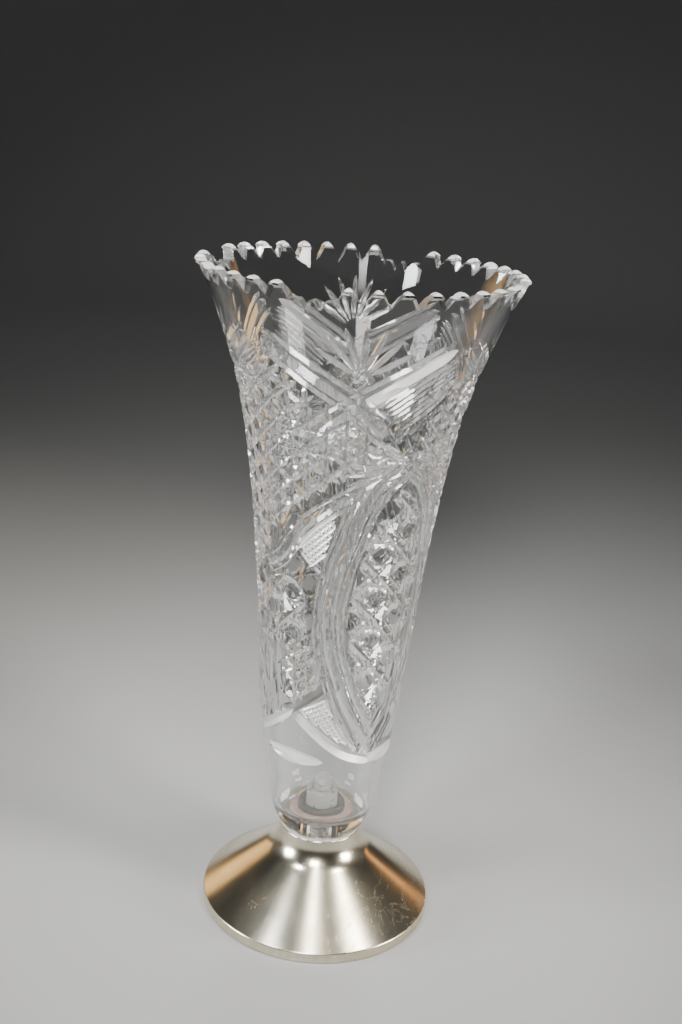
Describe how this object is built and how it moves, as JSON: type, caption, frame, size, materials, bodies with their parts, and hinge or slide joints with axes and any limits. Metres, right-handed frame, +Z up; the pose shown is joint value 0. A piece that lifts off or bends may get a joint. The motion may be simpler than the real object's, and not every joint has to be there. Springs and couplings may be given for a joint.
{
  "type": "vase",
  "caption": "Tall trumpet-shaped cut-glass flower vase with a toothed, lobed rim, bolted to a weighted spun metal foot.",
  "frame": {"origin": "centre of the flat face the vase rests on, on the vase's axis", "axes": "+Z up along the axis of the glass; X and Y lie in the resting plane, and the four-lobed rim repeats every 90 degrees about Z"},
  "size_m": [0.1274, 0.1274, 0.28],
  "materials": {
    "crystal": "clear polished lead crystal, brilliant cut",
    "silver_plate": "polished silver plate with yellowish tarnish and fine scratches",
    "clear_nylon": "milky translucent nylon",
    "clear_vinyl": "clear soft vinyl",
    "aged_rubber": "pinkish aged rubber",
    "seat_rubber": "grey gasket rubber",
    "zinc_steel": "zinc-plated steel",
    "plaster": "cast plaster",
    "base_metal": "plain sheet metal",
    "green_felt": "dark green wool felt"
  },
  "bodies": {
    "root": {"glass_body": "crystal", "clamp_nut": "clear_nylon", "inner_washer": "clear_vinyl", "inner_gasket": "aged_rubber", "fixing_bolt": "clear_nylon", "seat_gasket": "seat_rubber", "foot_shell": "silver_plate", "backing_washer": "zinc_steel", "foot_filler": "plaster", "base_disc": "base_metal", "felt_pad": "green_felt"}
  },
  "joints": []
}
